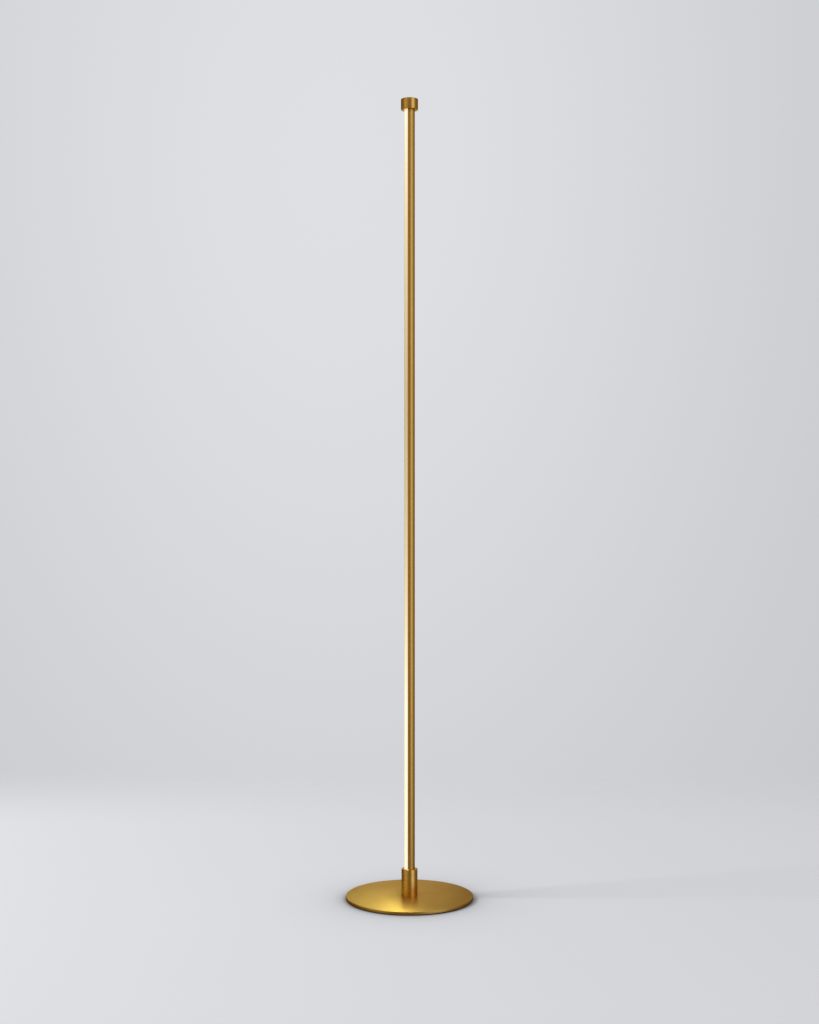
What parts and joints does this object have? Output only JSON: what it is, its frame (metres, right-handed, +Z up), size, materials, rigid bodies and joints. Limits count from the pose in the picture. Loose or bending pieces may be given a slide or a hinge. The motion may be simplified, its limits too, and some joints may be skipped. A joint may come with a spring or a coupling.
{
  "type": "led floor lamp",
  "caption": "Slim upright floor lamp: a round column with a side light slot under an opal diffuser swivels in a collar on a flat round base and ends in a small cap.",
  "frame": {"origin": "centre of the base on the floor, under the column's axis", "axes": "+Z up along the column, -X the way the light faces at rest, +Y to the rear, where the cord enters"},
  "size_m": [0.238, 0.238, 1.5],
  "materials": {
    "brushed_plate": "steel with a brass finish, brushed in circles",
    "turned_brass": "turned brass, satin",
    "anodised_profile": "extruded, brushed lengthwise, brass-tone anodised",
    "opal_diffuser": "extruded opal acrylic, lit warm white",
    "board_white": "white solder mask",
    "phosphor": "cast silicone with phosphor",
    "acetal": "moulded acetal",
    "turned_aluminium": "turned, bare",
    "screw_steel": "blackened steel",
    "black_rubber": "moulded, matt",
    "foam_pad": "cut foam rubber sheet",
    "lead_red": "extruded insulation",
    "lead_black": "extruded insulation",
    "nylon_white": "moulded nylon"
  },
  "bodies": {
    "base": {"base_plate": "brushed_plate", "base_pad": "foam_pad", "collar": "turned_brass", "base_bolt": "screw_steel", "swivel_bush": "acetal", "retaining_screw": "screw_steel", "cord_grommet": "black_rubber"},
    "column": {"swivel_plug": "turned_aluminium", "friction_ring": "black_rubber", "plug_screw": "screw_steel", "column_profile": "anodised_profile", "diffuser": "opal_diffuser", "led_board": "board_white", "led_phosphor": "phosphor", "lead_positive": "lead_red", "lead_negative": "lead_black", "lead_connector": "nylon_white", "top_cap": "turned_brass", "cap_insert": "turned_aluminium", "insert_screw": "screw_steel", "cap_set_screw": "screw_steel"}
  },
  "joints": [
    {"name": "column_swivel", "type": "hinge", "parent": "base", "child": "column", "pos_m": [0, 0, 0.0375], "axis": [0, 0, 1], "range_deg": [-160, 160]}
  ]
}
